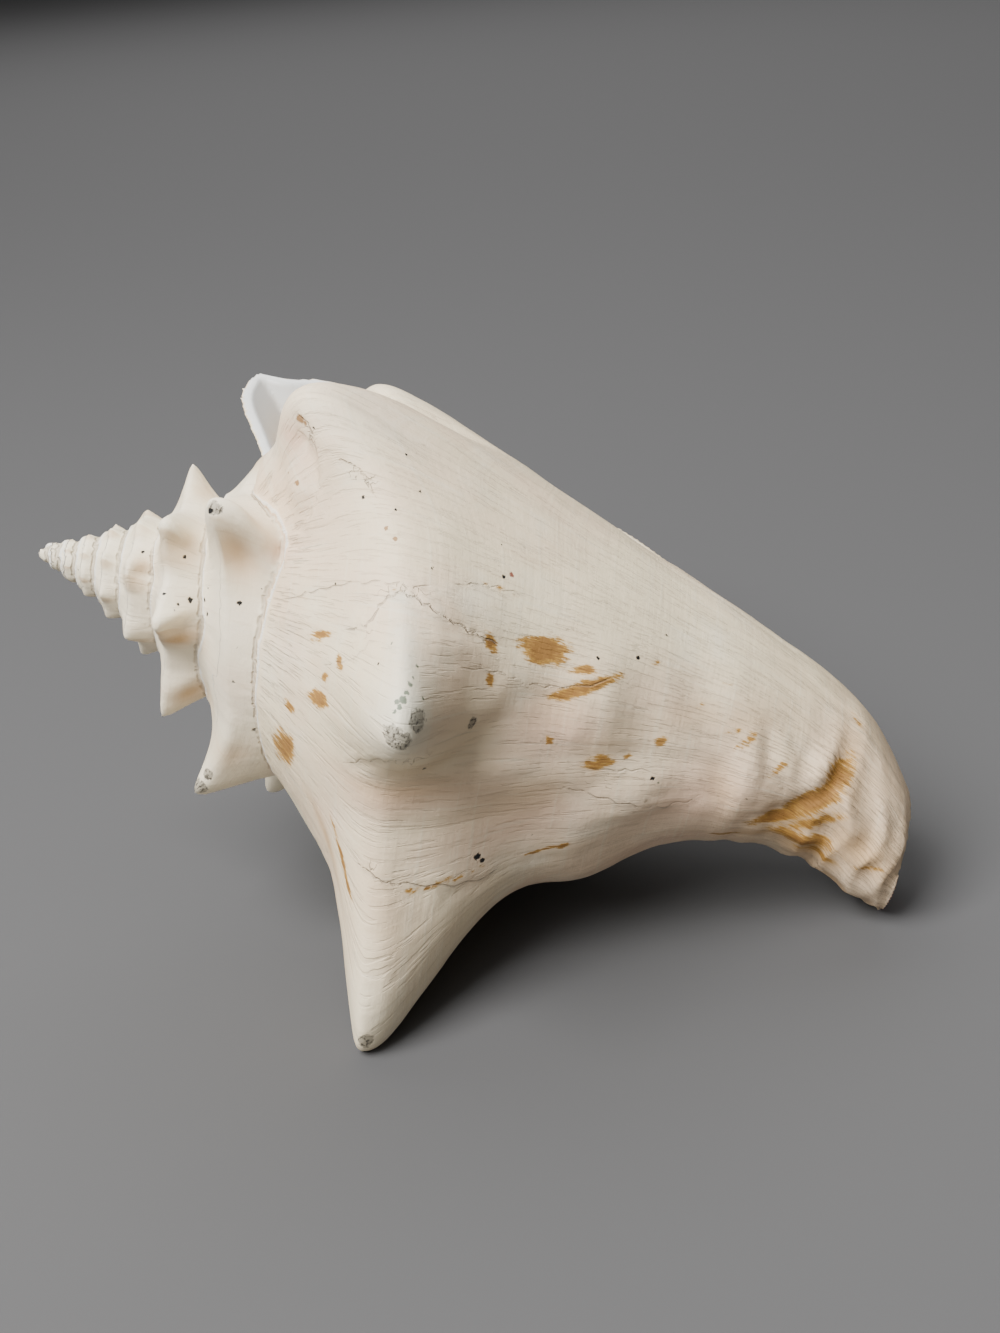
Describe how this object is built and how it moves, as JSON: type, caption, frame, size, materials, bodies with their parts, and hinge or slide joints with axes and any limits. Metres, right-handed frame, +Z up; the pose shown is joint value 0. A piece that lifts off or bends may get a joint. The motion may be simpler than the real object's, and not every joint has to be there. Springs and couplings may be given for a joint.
{
  "type": "conch shell",
  "caption": "Large spiny conch shell lying on its back, with a pointed stepped spire, long blunt shoulder spines, a flared lip and a bent canal.",
  "frame": {"origin": "centre of the bounding box's underside, on the surface the shell rests on", "axes": "+X runs from the spire towards the canal, +Y from the spiny front to the lip, +Z up as the shell rests"},
  "size_m": [0.1915, 0.1791, 0.1323],
  "materials": {
    "shell": "chalky ivory with a faint pink cast, ochre stains and a smoother pink mouth"
  },
  "bodies": {
    "root": {"conch_shell": "shell"}
  },
  "joints": []
}
